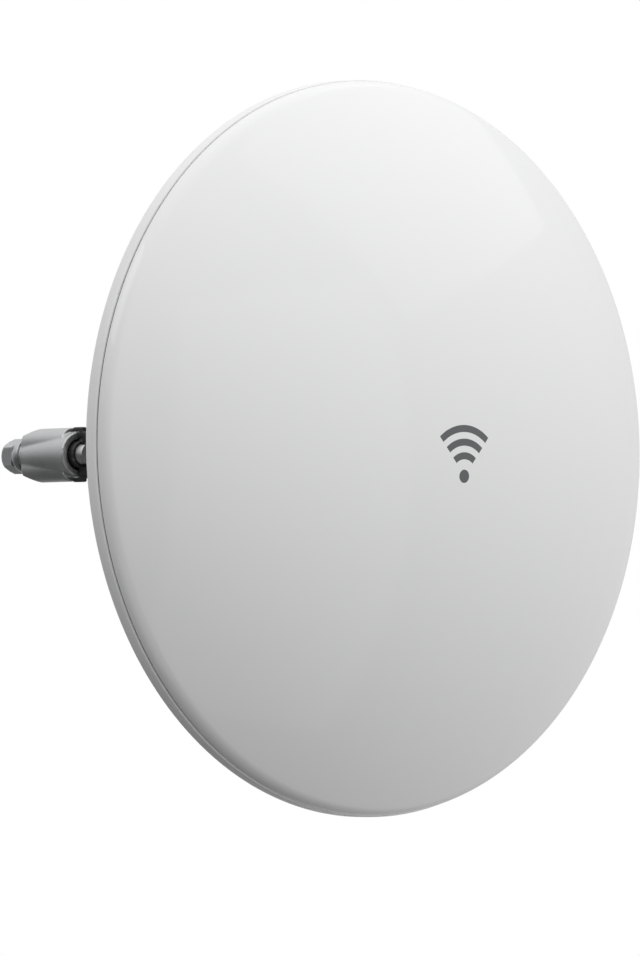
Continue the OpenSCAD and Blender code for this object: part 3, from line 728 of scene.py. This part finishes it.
def build_floor():
    """A plain pale floor that the camera sees, but that leaves the light on the dish alone."""
    bm = bmesh.new()
    bmesh.ops.create_grid(bm, x_segments=2, y_segments=2, size=FLOOR_HALF)
    mesh = bpy.data.meshes.new("floor")
    bm.to_mesh(mesh)
    bm.free()
    floor = bpy.data.objects.new("floor", mesh)
    floor.location.z = FLOOR_Z
    scene.collection.objects.link(floor)
    paint = Graph("floor_pale")
    paint.set(Base_Color=paint.blend(paint.noise(3.0), *FLOOR_GREYS),
              Roughness=paint.spread(paint.noise(9.0), 0.3, 0.7, 0.75, 0.9),
              Normal=paint.bump(paint.noise(60.0), 1e-4))
    mesh.materials.append(paint.material)
    floor.visible_diffuse = False
    floor.visible_glossy = False
    floor.visible_shadow = False


# ---------------------------------------------------------------- light
# Strength over directions: level + slope . d + bow . d^2 + twist * x * z, and never below least
LIGHT_LEVEL = 0.87
LIGHT_SLOPE = (0.41, -0.1, 0.97)
LIGHT_BOW = (-0.36, 0, -0.36)
LIGHT_TWIST = -0.58
LIGHT_LEAST = 0.14

SOFTBOX_AWAY = 2.6
# Name, degrees round from -Y towards +X, degrees above level, size in metres, radiance
SOFTBOXES = (
    ("front_panel", 4, -10, (2.5, 4.4), 0.22),
    ("high_panel", 62, 45, (2.8, 2.0), 0.25),
    ("side_panel", -105, 40, (1.6, 1.2), 1.0),
    ("low_panel", -75, -45, (1.6, 1.6), 0.35),
)


def build_world():
    """A plain white backdrop, and soft studio light that is brighter above and to the right."""
    world = bpy.data.worlds.new("studio")
    scene.world = world
    world.use_nodes = True
    tree = world.node_tree
    tree.nodes.clear()
    link = tree.links.new

    def node(kind, **settings):
        made = tree.nodes.new("ShaderNode" + kind)
        for key, value in settings.items():
            setattr(made, key, value)
        return made

    coords, split = node("TexCoord"), node("SeparateXYZ")
    way = coords.outputs["Generated"]
    link(way, split.inputs[0])
    slope = node("VectorMath", operation="DOT_PRODUCT")
    square = node("VectorMath", operation="MULTIPLY")
    bow = node("VectorMath", operation="DOT_PRODUCT")
    slope.inputs[1].default_value = LIGHT_SLOPE
    bow.inputs[1].default_value = LIGHT_BOW
    link(way, slope.inputs[0])
    for socket in square.inputs[:2]:
        link(way, socket)
    link(square.outputs["Vector"], bow.inputs[0])
    corner = node("Math", operation="MULTIPLY")
    link(split.outputs["X"], corner.inputs[0])
    link(split.outputs["Z"], corner.inputs[1])
    twist = node("Math", operation="MULTIPLY_ADD")
    twist.inputs[1].default_value = LIGHT_TWIST
    twist.inputs[2].default_value = LIGHT_LEVEL
    link(corner.outputs[0], twist.inputs[0])
    total = twist.outputs[0]
    for part in (slope, bow):
        add = node("Math", operation="ADD")
        link(total, add.inputs[0])
        link(part.outputs["Value"], add.inputs[1])
        total = add.outputs[0]
    least = node("Math", operation="MAXIMUM")
    least.inputs[1].default_value = LIGHT_LEAST
    link(total, least.inputs[0])

    light, white = node("Background"), node("Background")
    path, choose, out = node("LightPath"), node("MixShader"), node("OutputWorld")
    white.inputs["Color"].default_value = (1, 1, 1, 1)
    link(least.outputs[0], light.inputs["Strength"])
    link(path.outputs["Is Camera Ray"], choose.inputs[0])
    link(light.outputs[0], choose.inputs[1])
    link(white.outputs[0], choose.inputs[2])
    link(choose.outputs[0], out.inputs["Surface"])


def softbox(name, azimuth, elevation, size, radiance):
    """A rectangular panel that faces the dish and that the camera doesn't see."""
    data = bpy.data.lights.new(name, "AREA")
    data.shape = "RECTANGLE"
    data.size, data.size_y = size
    data.energy = radiance * math.pi * size[0] * size[1]
    a, e = math.radians(azimuth), math.radians(elevation)
    way = Vector((math.sin(a) * math.cos(e), -math.cos(a) * math.cos(e), math.sin(e)))
    lamp = bpy.data.objects.new(name, data)
    lamp.visible_camera = False
    lamp.location = Vector((0, SEAM_Y, 0)) + way * SOFTBOX_AWAY
    lamp.rotation_mode = "QUATERNION"
    lamp.rotation_quaternion = (-way).to_track_quat("-Z", "Y")
    scene.collection.objects.link(lamp)


# ---------------------------------------------------------------- camera
CAMERA_TURN = math.radians(-43.06)
CAMERA_RISE = math.radians(-1.76)
CAMERA_AWAY = 3.0
CAMERA_LENS_MM = 440.7
CAMERA_SENSOR_MM = 36
CAMERA_CLIP = 0.1, 100
AIM_LEFT = 13.02 * MM
AIM_DOWN = 7.61 * MM


def build_camera():
    """A long lens, round to the dish's left and aimed just off the middle of its seam."""
    flat = math.cos(CAMERA_RISE)
    back = Vector((math.sin(CAMERA_TURN) * flat, -math.cos(CAMERA_TURN) * flat,
                   math.sin(CAMERA_RISE)))
    right = Vector((math.cos(CAMERA_TURN), math.sin(CAMERA_TURN), 0))
    up = back.cross(right)
    seam_centre = Vector((0, SEAM_Y, 0))
    camera = bpy.data.objects.new("camera", bpy.data.cameras.new("camera"))
    scene.collection.objects.link(camera)
    camera.location = seam_centre + back * CAMERA_AWAY
    aim = seam_centre - right * AIM_LEFT - up * AIM_DOWN
    camera.rotation_mode = "QUATERNION"
    camera.rotation_quaternion = (aim - camera.location).to_track_quat("-Z", "Y")
    camera.data.lens = CAMERA_LENS_MM
    camera.data.sensor_width = CAMERA_SENSOR_MM
    camera.data.clip_start, camera.data.clip_end = CAMERA_CLIP
    return camera


build_floor()
scene.view_settings.view_transform = "Standard"
build_world()
for panel in SOFTBOXES:
    softbox(*panel)
scene.camera = build_camera()
